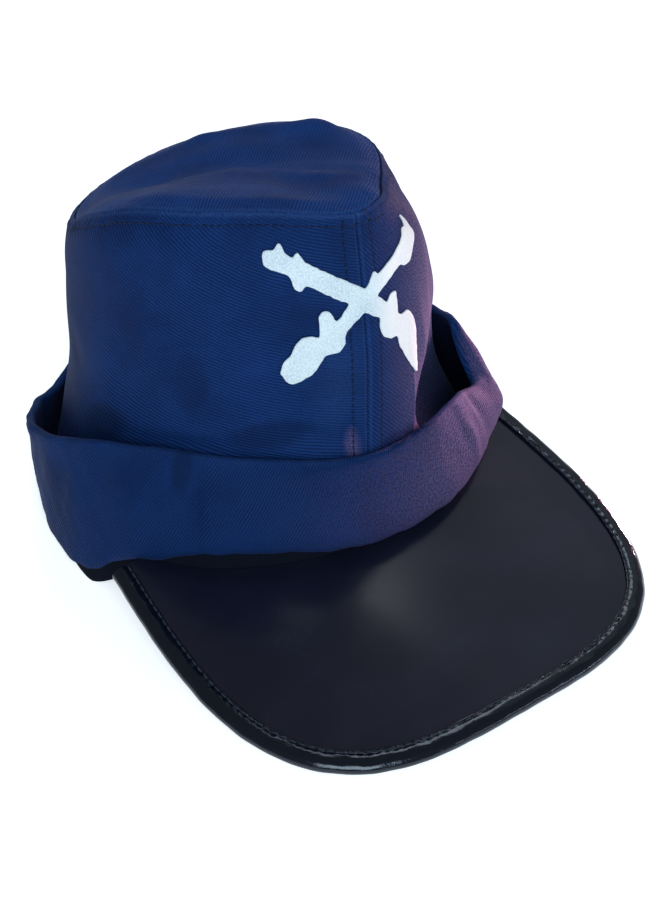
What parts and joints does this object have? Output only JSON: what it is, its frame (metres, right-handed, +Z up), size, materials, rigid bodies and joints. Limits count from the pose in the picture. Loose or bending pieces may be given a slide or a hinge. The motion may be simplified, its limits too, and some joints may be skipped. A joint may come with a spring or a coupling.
{
  "type": "kepi cap",
  "caption": "Soft twill kepi cap with a slanting round top, a turned-up cuff, a white crossed-muskets badge and a wide glossy bound visor.",
  "frame": {"origin": "on the surface that the cap stands on, under the middle of the whole cap's outline", "axes": "+Z up, -Y is the front, where the visor points, +X is the wearer's left"},
  "size_m": [0.2089, 0.2816, 0.1724],
  "materials": {
    "navy_twill": "matte twill weave",
    "dark_hem_cloth": "matte",
    "black_gloss_vinyl": "high gloss",
    "black_binding_vinyl": "gloss, finely grained",
    "white_applique_cloth": "matte"
  },
  "bodies": {
    "root": {"crown_top": "navy_twill", "crown_side_left": "navy_twill", "crown_side_right": "navy_twill", "rim_band": "dark_hem_cloth", "turned_up_cuff": "navy_twill", "visor": "black_gloss_vinyl", "visor_binding": "black_binding_vinyl", "crossed_muskets": "white_applique_cloth"}
  },
  "joints": []
}
